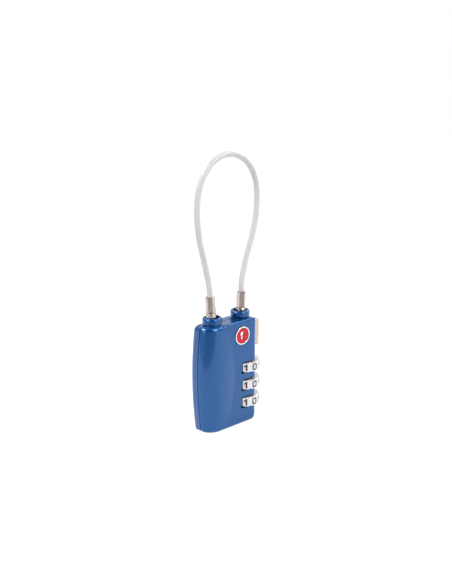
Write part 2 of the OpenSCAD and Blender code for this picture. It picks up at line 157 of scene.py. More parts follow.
class Finish:
    """A material in the making: a Principled shader and the nodes that vary it."""

    def __init__(self, name, **fixed):
        self.material = bpy.data.materials.new(name)
        self.material.use_nodes = True
        self.tree = self.material.node_tree
        self.shader = self.tree.nodes["Principled BSDF"]
        for socket, value in fixed.items():
            self.shader.inputs[socket.replace("_", " ")].default_value = value

    def node(self, kind, **settings):
        made = self.tree.nodes.new("ShaderNode" + kind)
        for name, value in settings.items():
            setattr(made, name, value)
        return made

    def link(self, source, target):
        self.tree.links.new(source, target)

    def place(self, per_mm, source="Object"):
        """The piece's own coordinates, scaled to so many units in a millimetre."""
        where = self.node("TexCoord")
        fit = self.node("Mapping")
        fit.inputs["Scale"].default_value = [n / SCALE for n in np.broadcast_to(per_mm, 3)]
        self.link(where.outputs[source], fit.inputs["Vector"])
        return fit.outputs["Vector"]

    def noise(self, per_mm, detail=3.0, roughness=0.5):
        """Noise with so many patches in a millimetre, along each axis or along all three."""
        texture = self.node("TexNoise")
        texture.inputs["Scale"].default_value = 1.0
        texture.inputs["Detail"].default_value = detail
        texture.inputs["Roughness"].default_value = roughness
        self.link(self.place(per_mm), texture.inputs["Vector"])
        return texture.outputs["Fac"]

    def flakes(self, per_mm):
        """A random value for each of the small cells of a flake paint."""
        texture = self.node("TexVoronoi")
        texture.inputs["Scale"].default_value = 1.0
        self.link(self.place(per_mm), texture.inputs["Vector"])
        split = self.node("SeparateColor")
        self.link(texture.outputs["Color"], split.inputs["Color"])
        return split.outputs["Red"]

    def edges(self, low=0.52, high=0.6):
        """1 on worn outer edges and 0 elsewhere."""
        return self.ranged(self.node("NewGeometry").outputs["Pointiness"], 0.0, 1.0, low, high)

    def ranged(self, value, low, high, start=0.3, end=0.7):
        """The value, with start to end spread over low to high."""
        spread = self.node("MapRange")
        for name, number in (("From Min", start), ("From Max", end), ("To Min", low), ("To Max", high)):
            spread.inputs[name].default_value = number
        self.link(value, spread.inputs["Value"])
        return spread.outputs["Result"]

    def mixed(self, value, first, second):
        """A colour between two, each an RGB triple or another node's colour."""
        mix = self.node("Mix", data_type="RGBA")
        self.link(value, mix.inputs["Factor"])
        for socket, colour in ((mix.inputs[6], first), (mix.inputs[7], second)):
            if isinstance(colour, bpy.types.NodeSocket):
                self.link(colour, socket)
            else:
                socket.default_value = (*colour, 1)
        return mix.outputs[2]

    def colour(self, value):
        self.link(value, self.shader.inputs["Base Color"])

    def roughness(self, value):
        self.link(value, self.shader.inputs["Roughness"])

    def bump(self, *heights):
        """Relief from (value, depth in millimetres) pairs, one on top of the other."""
        normal = None
        for value, depth in heights:
            relief = self.node("Bump")
            relief.inputs["Strength"].default_value = 1.0
            relief.inputs["Distance"].default_value = depth * SCALE
            self.link(value, relief.inputs["Height"])
            if normal:
                self.link(normal, relief.inputs["Normal"])
            normal = relief.outputs["Normal"]
        self.link(normal, self.shader.inputs["Normal"])


def lacquer():
    """Blue metallic lacquer under a clear coat."""
    f = Finish("blue_lacquer", Metallic=0.6, Coat_Weight=0.85, Coat_Roughness=0.05, IOR=1.5,
               Specular_IOR_Level=0.0)
    base = f.mixed(f.ranged(f.flakes(9), 0, 1, 0, 1), (0.001, 0.064, 0.222), (0.003, 0.078, 0.258))
    f.colour(f.mixed(f.ranged(f.noise(0.12), 0, 0.35), base, (0.002, 0.074, 0.245)))
    f.roughness(f.ranged(f.noise(1.5), 0.26, 0.32))
    f.bump((f.noise(0.9, 2), 0.005), (f.flakes(9), 0.0002))
    return f.material


def metal(name, colour, shade, rough, grain=(3, 3, 3), depth=0.004, metallic=1.0):
    """Bare or plated metal with a fine grain, dull patches and brighter edges."""
    f = Finish(name, Metallic=metallic)
    patched = f.mixed(f.ranged(f.noise(0.5), 0, 1), colour, shade)
    bright = tuple(min(1.0, c * 1.15) for c in colour)
    f.colour(f.mixed(f.edges(), patched, bright))
    f.roughness(f.ranged(f.noise(grain), rough[0], rough[1]))
    f.bump((f.noise(grain, 4), depth))
    return f.material


def enamel():
    """Red enamel with a faint mottle under its gloss."""
    f = Finish("red_enamel", Coat_Weight=0.6, Coat_Roughness=0.05, Specular_IOR_Level=0.0)
    f.colour(f.mixed(f.ranged(f.noise(1.2), 0, 1), (0.42, 0.004, 0.018), (0.58, 0.012, 0.03)))
    f.roughness(f.ranged(f.noise(4), 0.2, 0.34))
    f.bump((f.noise(0.8, 2), 0.01))
    return f.material


def ink(name, colour, lighter):
    """Printed or filled paint, slightly uneven."""
    f = Finish(name)
    f.colour(f.mixed(f.ranged(f.noise(5), 0, 1), colour, lighter))
    f.roughness(f.ranged(f.noise(8), 0.35, 0.6))
    f.bump((f.noise(12), 0.004))
    return f.material


def plastic():
    """Black moulded plastic with a fine spark-eroded texture."""
    f = Finish("black_plastic")
    f.colour(f.mixed(f.ranged(f.noise(2), 0, 1), (0.02, 0.02, 0.022), (0.045, 0.045, 0.05)))
    f.roughness(f.ranged(f.noise(6), 0.4, 0.6))
    f.bump((f.noise(9, 4), 0.01))
    return f.material


STRANDS = 8             # strands of the rope round its core
LAY = 12.0              # length in which a strand goes once round, in millimetres
WIRES = 4               # wires that show across a strand


def rope_wave(f, along, around, start=0.0):
    """Wave that runs with the rope: so many crests in a millimetre along it and in one turn around it."""
    where = f.node("UVMap", uv_map="rope")
    split = f.node("SeparateXYZ")
    f.link(where.outputs["UV"], split.inputs["Vector"])
    parts = []
    for output, crests in (("X", along), ("Y", around)):
        times = f.node("Math", operation="MULTIPLY")
        times.inputs[1].default_value = crests * 2 * math.pi
        f.link(split.outputs[output], times.inputs[0])
        parts.append(times.outputs[0])
    total = f.node("Math", operation="ADD")
    for i, part in enumerate(parts):
        f.link(part, total.inputs[i])
    shifted = f.node("Math", operation="ADD")
    shifted.inputs[1].default_value = start
    f.link(total.outputs[0], shifted.inputs[0])
    wave = f.node("Math", operation="SINE")
    f.link(shifted.outputs[0], wave.inputs[0])
    return wave.outputs[0]


def strand_wave(f):
    """-1 in the grooves between the strands and 1 on their crests."""
    return rope_wave(f, 0, STRANDS, -math.pi / 2)


def rope_steel():
    """Bright wires twisted into strands, with painted shade in the grooves between the strands and between
    the wires.
    """
    f = Finish("rope_steel", Metallic=0.4)
    wires = rope_wave(f, -0.9, STRANDS * WIRES)
    # Painted shade: each wire is painted a little darker in the gaps beside it and lighter on its crest.
    bright = f.mixed(f.ranged(wires, 0, 1, -0.9, 0.4), (0.86, 0.84, 0.85), (0.98, 0.96, 0.97))
    # Painted shade: the grooves between the strands are painted near black.
    f.colour(f.mixed(f.ranged(strand_wave(f), 0, 1, -0.8, 0.3), (0.08, 0.07, 0.075), bright))
    f.roughness(f.ranged(f.noise(3), 0.3, 0.44))
    f.bump((wires, 0.02))
    return f.material


def jacket():
    """Clear jacket, a little cloudy, that follows the strands inside it."""
    f = Finish("clear_jacket", Alpha=0.2, IOR=1.5)
    f.colour(f.mixed(f.ranged(f.noise(0.8), 0, 1), (0.86, 0.84, 0.85), (0.94, 0.92, 0.93)))
    f.roughness(f.ranged(f.noise(2), 0.14, 0.24))
    f.bump((strand_wave(f), 0.05))
    return f.material


def make_materials():
    """Every material by name."""
    return {
        "blue": lacquer(),
        "dial": metal("dial_satin", (0.70, 0.69, 0.72), (0.62, 0.61, 0.64), (0.32, 0.44),
                      (1.5, 1.5, 6), 0.003, 0.7),
        "nickel": metal("bright_nickel", (0.80, 0.78, 0.76), (0.7, 0.68, 0.66), (0.14, 0.24), 4, 0.002),
        "crimp": metal("crimp_nickel", (0.56, 0.48, 0.46), (0.47, 0.40, 0.38), (0.11, 0.18),
                       (2, 2, 0.7), 0.004),
        "button": metal("champagne_satin", (0.54, 0.47, 0.43), (0.48, 0.42, 0.38), (0.3, 0.42),
                        (6, 6, 0.8), 0.004),
        "steel": metal("spring_steel", (0.62, 0.62, 0.62), (0.5, 0.5, 0.5), (0.2, 0.35), 5, 0.004),
        "brass": metal("bare_brass", (0.80, 0.62, 0.30), (0.7, 0.5, 0.22), (0.2, 0.36), (3, 3, 6), 0.004),
        "zinc": metal("cast_zinc", (0.58, 0.58, 0.57), (0.46, 0.46, 0.46), (0.35, 0.55), 2.5, 0.02),
        "red": enamel(),
        "digits": ink("digit_paint", (0.022, 0.017, 0.016), (0.045, 0.038, 0.036)),
        "black": plastic(),
        "rope": rope_steel(),
        "jacket": jacket(),
    }


# ---------- distance fields ----------

def meet(a, b, r):
    """What is inside both fields, with the edge between them rounded to the radius r."""
    return np.minimum(np.maximum(a, b), -r) + np.hypot(np.maximum(a + r, 0), np.maximum(b + r, 0))


def join(a, b, r):
    """What is inside either field, with the corner between them filled to the radius r."""
    return -meet(-a, -b, r)


def cut(a, b, r):
    """What is inside a and not inside b, with the edge rounded to the radius r."""
    return meet(a, -b, r)


def soften(a, b, width):
    """The lesser of two fields, smoothed where they differ by less than the width."""
    near = np.maximum(width - np.abs(a - b), 0)
    return np.minimum(a, b) - near * near / (4 * width)


def ramp(low, high, value):
    """0 below low, 1 above high and a smooth step between them."""
    t = np.clip((value - low) / (high - low), 0, 1)
    return t * t * (3 - 2 * t)


def box(x, y, z, low, high, r=0.0):
    """Box between two corners, with its edges rounded to r."""
    sides = [np.abs(v - (a + b) / 2) - (b - a) / 2 + r for v, a, b in zip((x, y, z), low, high)]
    outside = np.sqrt(sum(np.maximum(s, 0) ** 2 for s in sides))
    return outside + np.minimum(np.maximum(np.maximum(sides[0], sides[1]), sides[2]), 0) - r


def drum(across, along, radius, low, high, r=0.0):
    """Cylinder from the distance to its axis and the place along it, with its rims rounded to r."""
    return meet(across - radius, np.abs(along - (low + high) / 2) - (high - low) / 2, r)


def surface_net(field, low, high, step):
    """Vertices, quads and normals of a field's zero surface, with the vertices pulled onto it."""
    lines = [np.arange(a - 2 * step, b + 2.5 * step, step) for a, b in zip(low, high)]
    value = field(*np.meshgrid(*lines, indexing="ij"))
    cells = np.array(value.shape) - 1
    origin = np.array([line[0] for line in lines])
    total, hits = np.zeros((cells.prod(), 3)), np.zeros(cells.prod())
    quads = []
    for axis in range(3):
        on, second, third = np.roll(np.eye(3, dtype=int), -axis, axis=0)
        near = value[tuple(slice(0, n - o) for n, o in zip(value.shape, on))]
        far = value[tuple(slice(o, n) for n, o in zip(value.shape, on))]
        start = np.argwhere((near < 0) != (far < 0))
        a, b = near[tuple(start.T)], far[tuple(start.T)]
        crossing = origin + (start + (a / (a - b))[:, None] * on) * step
        ring = [np.ravel_multi_index((start - i * second - k * third).T, cells)
                for i, k in ((0, 0), (1, 0), (1, 1), (0, 1))]
        for cell in ring:
            np.add.at(total, cell, crossing)
            np.add.at(hits, cell, 1)
        ring = np.stack(ring, 1)
        quads.append(np.where((a < 0)[:, None], ring, ring[:, ::-1]))
    used = np.flatnonzero(hits)
    number = np.zeros(cells.prod(), int)
    number[used] = np.arange(len(used))
    quads = number[np.concatenate(quads)]
    points = total[used] / hits[used][:, None]
    for _ in range(3):
        points, normals = pull(field, pull(field, even_out(points, quads), step)[0], step)
    return points, quads, normals


def even_out(points, quads):
    """Moves each vertex halfway to the middle of its neighbours."""
    total, count = np.zeros_like(points), np.zeros(len(points))
    for i in range(4):
        np.add.at(total, quads[:, i], points[quads[:, (i + 1) % 4]] + points[quads[:, i - 1]])
        np.add.at(count, quads[:, i], 2)
    return (points + total / count[:, None]) / 2


def pull(field, points, step):
    """Moves the points down the field's slope to its zero surface, and gives their normals."""
    h = 0.02
    rises = [field(*(points + h * on).T) - field(*(points - h * on).T) for on in np.eye(3)]
    slope = np.stack(rises, 1) / (2 * h)
    size = np.maximum(np.linalg.norm(slope, axis=1), 0.2)
    move = np.clip(field(*points.T) / size, -step / 2, step / 2)
    normals = slope / size[:, None]
    return points - move[:, None] * normals, normals


# ---------- meshes ----------

def add_mesh(name, points, faces, material, normals=None, sharp=None):
    """Piece from points in millimetres, smooth except where its faces meet at more than sharp degrees."""
    mesh = bpy.data.meshes.new(name)
    mesh.from_pydata((np.asarray(points) * SCALE).tolist(), [], [tuple(int(i) for i in f) for f in faces])
    mesh.materials.append(material)
    mesh.shade_smooth()
    if normals is not None:
        mesh.normals_split_custom_set_from_vertices(normals.tolist())
    if sharp is not None:
        mesh.set_sharp_from_angle(angle=math.radians(sharp))
    piece = bpy.data.objects.new(name, mesh)
    bpy.context.scene.collection.objects.link(piece)
    return piece


def add_field(name, field, low, high, step, material):
    """Piece whose surface is a field's zero surface."""
    points, quads, normals = surface_net(field, np.array(low, float), np.array(high, float), step)
    return add_mesh(name, points, quads, material, normals)


def arc_corner(before, corner, after, radius, steps=6):
    """The arc that rounds one corner of an outline."""
    before, corner, after = (np.array(p, float) for p in (before, corner, after))
    back, on = before - corner, after - corner
    back, on = back / np.linalg.norm(back), on / np.linalg.norm(on)
    half = math.acos(np.clip(back @ on, -1, 1)) / 2
    centre = corner + (back + on) / np.linalg.norm(back + on) * radius / math.sin(half)
    first = corner + back * radius / math.tan(half) - centre
    last = corner + on * radius / math.tan(half) - centre
    turn = math.pi - 2 * half
    return [centre + (math.sin(turn * (1 - t)) * first + math.sin(turn * t) * last) / math.sin(turn)
            for t in np.linspace(0, 1, steps + 1)]


def rounded(outline):
    """Closed outline from (x, z, radius) corners, with each corner rounded to its radius."""
    points = []
    for i, (x, z, radius) in enumerate(outline):
        if radius:
            points += arc_corner(outline[i - 1][:2], (x, z), outline[(i + 1) % len(outline)][:2], radius)
        else:
            points.append(np.array([x, z], float))
    return points


def loft(rings, closed_ends=True):
    """Quads over a list of rings with the same number of points, and a cap on each end."""
    count, sides = len(rings), len(rings[0])
    faces = []
    for i in range(count - 1):
        for k in range(sides):
            j = (k + 1) % sides
            faces.append((i * sides + k, i * sides + j, (i + 1) * sides + j, (i + 1) * sides + k))
    if closed_ends:
        faces.append(tuple(reversed(range(sides))))
        faces.append(tuple(range((count - 1) * sides, count * sides)))
    return np.concatenate(rings), faces


def lathe(outline, sides=128):
    """Points and faces of a ring turned about Z from a closed outline of (radius, z, corner radius)."""
    profile = np.array(rounded(outline))
    angles = np.linspace(0, 2 * math.pi, sides, endpoint=False)
    points = np.stack([np.outer(np.cos(angles), profile[:, 0]), np.outer(np.sin(angles), profile[:, 0]),
                       np.broadcast_to(profile[:, 1], (sides, len(profile)))], -1).reshape(-1, 3)
    count = len(profile)
    faces = []
    for i in range(sides):
        here, there = i * count, (i + 1) % sides * count
        for k in range(count):
            j = (k + 1) % count
            faces.append((here + k, there + k, there + j, here + j))
    return points, faces


# ---------- case ----------

def bulge_field(x, y, z):
    """The bulge: half an ellipse on its left and a low crown on its right, waisted like a barrel."""
    t = (z - MID_Z) / MID_Z
    crest_y = CREST_Y - 1.35 * t ** 2 + 0.4 * t ** 4
    crest_x = WAIST_X + 9.2 + 0.5 * t ** 2
    reach = crest_x - (WAIST_X + SIDE_BOW * t ** 2)
    across, out = (crest_x - x) / reach, np.abs(y) / crest_y
    q = np.maximum(np.hypot(across, out), 1e-3)
    ellipse = q * (q - 1) / np.maximum(np.hypot(across / reach, out / crest_y), 1e-3)
    slope = (x - crest_x) / CROWN_R
    crown = (np.abs(y) - crest_y + slope * (x - crest_x) / 2) / np.hypot(1, slope)
    return np.where(x < crest_x, ellipse, crown), crest_x


def panel_field(x, y, z, crest_x):
    """The flat front panel, with a lip along its top that runs out to the right."""
    flat = -y - PANEL_Y
    lip = np.maximum(flat - LIP_Y * (1 - ramp(-7, 9, x)), LIP_Z - z)
    return np.maximum(join(flat, lip, 0.12), crest_x + 1 - x)


def close_case(face, x, z, top_r, bottom_r):
    """A half's face closed off at the right, the top and the bottom, with rounded edges."""
    right, top, bottom = x - RIGHT_X, z - BODY_H, -z
    outline = meet(meet(right, bottom, CORNER_R), top, 3.2)
    to_right = np.maximum(right + CORNER_R, 0)
    to_end = np.maximum(np.maximum(top, bottom) + CORNER_R, 0)
    share = to_right ** 2 / np.maximum(to_right ** 2 + to_end ** 2, 1e-6)
    end_r = np.where(z > MID_Z, top_r, bottom_r)
    return meet(face, outline, end_r + (3 - end_r) * share)


def front_case(x, y, z):
    """The front half, solid: the bulge and the flat panel."""
    bulge, crest_x = bulge_field(x, y, z)
    face = soften(bulge, panel_field(x, y, z, crest_x), 0.12)
    return close_case(face, x, z, 2.0 - 0.8 * ramp(-8, -3, x), 1.5)


def rear_case(x, y, z):
    """The rear half, solid: a flat back with rounded edges, and the seats of the collars on top."""
    left = WAIST_X + SIDE_BOW * ((z - MID_Z) / MID_Z) ** 2 - x
    rear = ramp(0, 4, y)
    body = close_case(meet(left, y - PANEL_Y, BACK_R), x, z, 2.0 + 0.9 * rear, 1.5 - 0.6 * rear)
    for centre in (FIXED_X, FREE_X):
        body = join(body, drum(np.hypot(x - centre, y), z, 4.35, BODY_H - 4, BODY_H), 0.4)
    return body


def dial_pockets(x, y, z):
    """The pockets that the dials turn in, open at the front, the right and the rear."""
    across = np.hypot(x - DIAL_X, y)
    found = np.full(np.broadcast(x, y, z).shape, 99.0)
    for centre in DIALS.values():
        low, high = centre - WINDOW_DROP, centre + WINDOW_RISE
        pocket = drum(across, z, DIAL_R + DIAL_GAP, low, high)
        window = box(x, 0 * y, z, (WINDOW_X, -1, low), (RIGHT_X + 9, 1, high), 0.45)
        found = np.minimum(found, np.minimum(pocket, np.maximum(window, 4.3 - np.abs(y))))
    spring = box(x, y, z, (2.1, -2.4, DIALS["dial_bottom"] - 3), (3.6, 2.4, DIALS["dial_top"] + 3))
    shaft = np.minimum(drum(across, z, 2.65, 5, 33), drum(across, z, 2.1, 1.6, 37.2))
    return np.minimum(np.minimum(found, spring), shaft)


def works_pockets(x, y, z):
    """The pockets of the button, the latch, the cable's ends and the override."""
    button = box(x, y, z, (12, -BUTTON_W / 2 - 0.1, BUTTON_Z - 0.1), (RIGHT_X + 9, BUTTON_W / 2 + 0.1,
                                                                      BUTTON_HIGH[2] + 0.1), 0.4)
    pockets = [
        button,
        box(x, y, z, (10.8, -3.4, BUTTON_Z - 0.1), (13.3, 3.4, BUTTON_HIGH[2] + 0.1)),
        box(x, y, z, (10.2, -1.7, 35.3), (13.8, 1.7, BUTTON_Z)),
        box(x, y, z, (-4.7, -4, LATCH_Z - 0.15), (13.3, 4, LATCH_Z + 1.55)),
        box(x, y, z, (-4.7, -2.4, 23.4), (-0.2, 2.4, LATCH_Z)),
        box(x, y, z, (-5.9, -1.7, 44.8), (-4, 1.7, 48.2)),
        box(x, y, z, (-14.4, -4.6, 38.2), (-6, 4.6, 43.6), 0.5),
        drum(np.hypot(x - FIXED_X, y), z, 4, 45.4, 49.3),
        drum(np.hypot(x - FIXED_X, y), z, 3.1, 49, BODY_H + 2),
        drum(np.hypot(x - FREE_X, y), z, 3.05, 37.8, BODY_H + 2),
        drum(np.hypot(x - KEY_X, y), z, KEY_HOUSING_R + 0.12, -3, 22.1),
        drum(np.hypot(x - KEY_X, y), z, 5.6, 22, 26.3),
    ]
    for centre in (FIXED_X, FREE_X):
        pockets.append(drum(np.hypot(x - centre, y), z, 3.95, BODY_H - 1.45, BODY_H + 2))
    return np.minimum.reduce(np.broadcast_arrays(*pockets))


def fastener_pockets(x, y, z):
    """The screw holes, the reset slot and the seat of the badge."""
    pockets = [
        box(x, y, z, (-1.3, 4.8, 22.9), (1.3, 9, 29.6), 0.5),
        box(x, y, z, (-2, 3.4, 21.6), (2, 5.1, 30.9)),
        drum(np.hypot(x - BADGE_X, z - BADGE_Z), y, BADGE_R + 0.1, -9, -PANEL_Y + 0.9),
    ]
    for screw_x, screw_z in SCREWS:
        across = np.hypot(x - screw_x, z - screw_z)
        pockets += [drum(across, y, 1.1, -4.1, 8), drum(across, y, 2.1, 4.9, 9)]
    return np.minimum.reduce(np.broadcast_arrays(*pockets))


def shell_field(solid, side):
    """A hollowed half of the case, rounded at the seam: side is -1 at the front, 1 at the rear."""
    def field(x, y, z):
        half = meet(solid(x, y, z), SEAM_GAP / 2 - side * y, SEAM_R)
        for pockets in (dial_pockets, works_pockets, fastener_pockets):
            half = cut(half, pockets(x, y, z), 0.18)
        return half
    return field


def make_case(looks):
    """The two halves of the case."""
    step = 0.3
    front = add_field("case_front", shell_field(front_case, -1),
                      (WAIST_X, -CREST_Y, 0), (RIGHT_X, 0, BODY_H), step, looks["blue"])
    show(front, "case", "blue_case", "front_shell")
    rear = add_field("case_rear", shell_field(rear_case, 1),
                     (WAIST_X, 0, 0), (RIGHT_X, PANEL_Y, BODY_H), step, looks["blue"])
    show(rear, "case", "blue_case", "rear_shell")


def show(piece, body, slot, *nodes):
    """The piece rides on the body and stands for the nodes; slot is not used."""
    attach(piece, body)
    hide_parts(*nodes)
    return piece


# ---------- collars, badge and screws ----------

def make_collars(looks):
    """Stepped collars round the two ends of the cable."""
    rise = COLLAR_TOP - BODY_H
    outline = [
        (PIN_R, -1.4, 0), (3.9, -1.4, 0.2), (3.9, 0, 0), (4.35, 0, 0), (4.35, 0.5, 0.12),
        (COLLAR_R, 0.8, 0.2), (COLLAR_R, rise, 1.0), (3.45, rise, 0.25), (3.45, 0.8, 0.2), (PIN_R, 0.7, 0),
    ]
    for node, centre in (("fixed_collar", FIXED_X), ("socket_collar", FREE_X)):
        points, faces = lathe(outline)
        collar = add_mesh(node + "_ring", points + (centre, 0, BODY_H), faces, looks["blue"], sharp=40)
        show(collar, "case", "blue_case", node)


def on_badge(points):
    """Turns points so that their Z points out of the front panel at the badge."""
    points = np.asarray(points)
    return np.stack([BADGE_X + points[:, 0], -PANEL_Y - points[:, 2], BADGE_Z + points[:, 1]], 1)


def make_badge(looks):
    """A round red enamel badge, in a bright rim; its keyhole shows the rim's floor."""
    r = BADGE_R
    pinhole = 0.02          # radius left open at the rim's axis, too small to show
    rim = [
        (pinhole, -0.85, 0), (r, -0.85, 0.1), (r, 0.4, 0.18),
        (r - 0.6, 0.4, 0.18), (r - 0.65, -0.3, 0), (pinhole, -0.3, 0),
    ]
    points, faces = lathe(rim)
    bezel = add_mesh("badge_rim", on_badge(points), faces, looks["nickel"], sharp=40)
    show(bezel, "case", "nickel", "badge_bezel")

    def disc(x, y, z):
        across = np.hypot(x, y)
        dome = meet(across - (r - 0.68), z - 0.22 + 0.012 * across ** 2, 0.1)
        body = np.maximum(dome, -0.28 - z)
        round_part = np.hypot(x, y - 0.8) - 1.25
        slot_part = np.maximum(np.abs(x) - 0.6 + 0.15 * y, np.abs(y + 0.8) - 1.3)
        return cut(body, np.minimum(round_part, slot_part), 0.05)

    points, quads, normals = surface_net(disc, np.array([-r, -r, -0.4]), np.array([r, r, 0.4]), 0.1)
    turned = np.stack([normals[:, 0], -normals[:, 2], normals[:, 1]], 1)
    badge = add_mesh("badge_enamel", on_badge(points), quads, looks["red"], turned)
    show(badge, "case", "red_enamel", "badge")


def make_screws(looks):
    """Three pan-head screws with cross recesses, seen from the rear."""
    def screw(x, y, z):
        across = np.hypot(x, y)
        head = meet(across - 1.9, np.abs(z - 5.45) - 0.5 - 0.06 * (3.6 - across ** 2), 0.25)
        shank = drum(across, z, 1.0, -4, 5.2, 0.2)
        arm_half, arm_reach = 0.26, 1.25
        one_arm = np.maximum(np.abs(x) - arm_half, np.abs(y) - arm_reach)
        other_arm = np.maximum(np.abs(y) - arm_half, np.abs(x) - arm_reach)
        recess = np.maximum(np.minimum(one_arm, other_arm), 5.35 - z)
        return cut(join(head, shank, 0.1), recess, 0.06)

    points, quads, normals = surface_net(screw, np.array([-1.9, -1.9, -4]), np.array([1.9, 1.9, 6.2]), 0.13)
    turned = np.stack([points[:, 0], points[:, 2], -points[:, 1]], 1)
    count = len(points)
    every = np.concatenate([turned + (x, 0, z) for x, z in SCREWS])
    faces = np.concatenate([quads + i * count for i in range(len(SCREWS))])
    out = np.tile(np.stack([normals[:, 0], normals[:, 2], -normals[:, 1]], 1), (len(SCREWS), 1))
    show(add_mesh("screws", every, faces, looks["steel"], out), "case", "steel", "case_screws")


# ---------- dials ----------

def dial_field(centre):
    """A dial: a ring with ten flutes and softened rims."""
    def field(x, y, z):
        across = np.hypot(x - DIAL_X, y)
        turn = np.arctan2(y, x - DIAL_X)
        folded = turn - np.round(turn / math.radians(36)) * math.radians(36)
        flute = np.hypot(across * np.cos(folded) - DIAL_R - FLUTE_OUT, across * np.sin(folded)) - FLUTE_R
        ring = cut(cut(across - DIAL_R, flute, 0.14), across - BORE_R, 0.1)
        return meet(ring, np.abs(z - centre) - DIAL_H / 2, 0.3)
    return field


def run(*points):
    """Straight strokes through the given points."""
    return [np.array(p, float) for p in points]


def bow(x, y, rx, ry, start, end):
    """Stroke along an ellipse, in degrees."""
    return [np.array([x + rx * math.cos(a), y + ry * math.sin(a)])
            for a in np.radians(np.linspace(start, end, 15))]


def digit_strokes():
    """The strokes of each digit, about 2 wide and 2.8 high to the middles of the strokes."""
    top, bottom = 1.4, -1.4
    return [
        [bow(0.55, 0.9, 0.5, 0.5, 0, 90) + bow(-0.55, 0.9, 0.5, 0.5, 90, 180)
         + bow(-0.55, -0.9, 0.5, 0.5, 180, 270) + bow(0.55, -0.9, 0.5, 0.5, 270, 360) + run((1.05, 0.9))],
        [run((-0.72, 0.72), (0.1, top), (0.1, bottom)), run((0.32, top), (0.32, bottom))],
        [bow(0, 0.55, 0.9, 0.83, 165, -25) + run((-0.9, bottom), (0.95, bottom))],
        [bow(-0.05, 0.68, 0.85, 0.7, 160, -90), bow(-0.05, -0.68, 0.95, 0.7, 90, -160)],
        [run((0.4, bottom), (0.4, top), (-0.95, -0.55), (0.98, -0.55))],
        [run((0.82, top), (-0.68, top), (-0.78, 0.2)) + bow(-0.05, -0.5, 0.95, 0.88, 130, -155)],
        [bow(0, -0.55, 0.9, 0.83, 0, 360), bow(0.55, -0.4, 1.45, 1.8, 175, 100)],
        [run((-0.92, top), (0.92, top), (-0.3, bottom))],
        [bow(0, 0.72, 0.72, 0.66, 0, 360), bow(0, -0.68, 0.9, 0.7, 0, 360)],
        [bow(0, 0.55, 0.9, 0.83, 0, 360), bow(-0.55, 0.4, 1.45, 1.8, -5, -80)],
    ]


def stroke_field(x, y, strokes, half_width):
    """Distance from flat points to the strokes' edges."""
    found = np.full(np.broadcast(x, y).shape, 99.0)
    for stroke in strokes:
        for a, b in zip(stroke, stroke[1:]):
            along = b - a
            t = np.clip(((x - a[0]) * along[0] + (y - a[1]) * along[1]) / max(along @ along, 1e-9), 0, 1)
            found = np.minimum(found, np.hypot(x - a[0] - t * along[0], y - a[1] - t * along[1]))
    return found - half_width


def make_digit(strokes):
    """Thin plate in a digit's shape, lying flat, with its middle at the origin."""
    def field(x, y, z):
        return meet(stroke_field(x, y, strokes, PEN_HALF), np.abs(z) - PLATE_HALF, 0.03)
    return surface_net(field, np.array([-1.5, -1.8, -PLATE_HALF]), np.array([1.5, 1.8, PLATE_HALF]), 0.075)


def wrap_on_dial(flat, normals, turn, centre):
    """Bends flat points round a dial's rim, with their middle at the angle turn."""
    angle = turn + flat[:, 0] / DIAL_R
    radius = DIAL_R - PLATE_HALF / 2 + flat[:, 2]
    points = np.stack([DIAL_X + radius * np.cos(angle), radius * np.sin(angle), centre + flat[:, 1]], 1)
    out = np.stack([np.cos(angle), np.sin(angle), 0 * angle], 1)
    side = np.stack([-np.sin(angle), np.cos(angle), 0 * angle], 1)
    up = np.array([0, 0, 1.0])
    return points, normals[:, :1] * side + normals[:, 1:2] * up + normals[:, 2:] * out


def make_dials(looks):
    """The dials, each with its ten digits; 0 faces the front."""
    plates = [make_digit(strokes) for strokes in digit_strokes()]
    for node, centre in DIALS.items():
        low = (DIAL_X - DIAL_R, -DIAL_R, centre - DIAL_H / 2)
        high = (DIAL_X + DIAL_R, DIAL_R, centre + DIAL_H / 2)
        wheel = add_field(node + "_wheel", dial_field(centre), low, high, 0.17, looks["dial"])
        show(wheel, node, "nickel", node)
        points, faces, normals = [], [], []
        for digit, (flat, quads, flat_normals) in enumerate(plates):
            placed, turned = wrap_on_dial(flat, flat_normals, math.radians(-90 - 36 * digit), centre)
            faces.append(quads + sum(len(p) for p in points))
            points.append(placed)
            normals.append(turned)
        digits = add_mesh(node + "_digits", np.concatenate(points), np.concatenate(faces), looks["digits"],
                          np.concatenate(normals))
        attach(digits, node)


# ---------- button ----------

def button_field(x, y, z):
    """The button: a rounded bar with a flange inside the case, grip grooves and a ramp below."""
    outer, foot_x = BUTTON_HIGH[0], BUTTON_LOW[0]
    inner = 12.85
    top = BUTTON_HIGH[2]
    bar = box(x, y, z, (inner, -BUTTON_W / 2, BUTTON_Z), (outer, BUTTON_W / 2, top), 0.55)
    grips, first_grip, grip_pitch, grip_r, grip_out = 5, 3.75, 1.5, 0.55, 0.35
    for i in range(grips):
        groove = np.hypot(x - outer - grip_out, z - BUTTON_Z - first_grip - grip_pitch * i) - grip_r
        bar = cut(bar, groove, 0.12)
    flange = box(x, y, z, (inner, -3.2, BUTTON_Z), (inner + 0.4, 3.2, top), 0.12)
    foot_z = 35.5
    wedge = np.maximum((x + z - foot_x - 1.3 - foot_z) / -math.sqrt(2),
                       box(x, y, z, (foot_x, -1.5, foot_z), (13.6, 1.5, BUTTON_Z)))
    return join(np.minimum(bar, flange), wedge, 0.1)


def make_button(looks):
    """The side button."""
    button = add_field("side_button", button_field, BUTTON_LOW, BUTTON_HIGH, 0.16, looks["button"])
    show(button, "button", "button_metal", "release_button")


# ---------- ferrules ----------

def along_end(end, points):
    """Stands points on the leaning axis of an end of the cable, with z = 0 at the pivot."""
    x, pivot_z, lean, _ = end
    points = np.asarray(points)
    return np.stack([x + points[:, 0] * math.cos(lean) + points[:, 2] * math.sin(lean), points[:, 1],
                     pivot_z + points[:, 2] * math.cos(lean) - points[:, 0] * math.sin(lean)], 1)


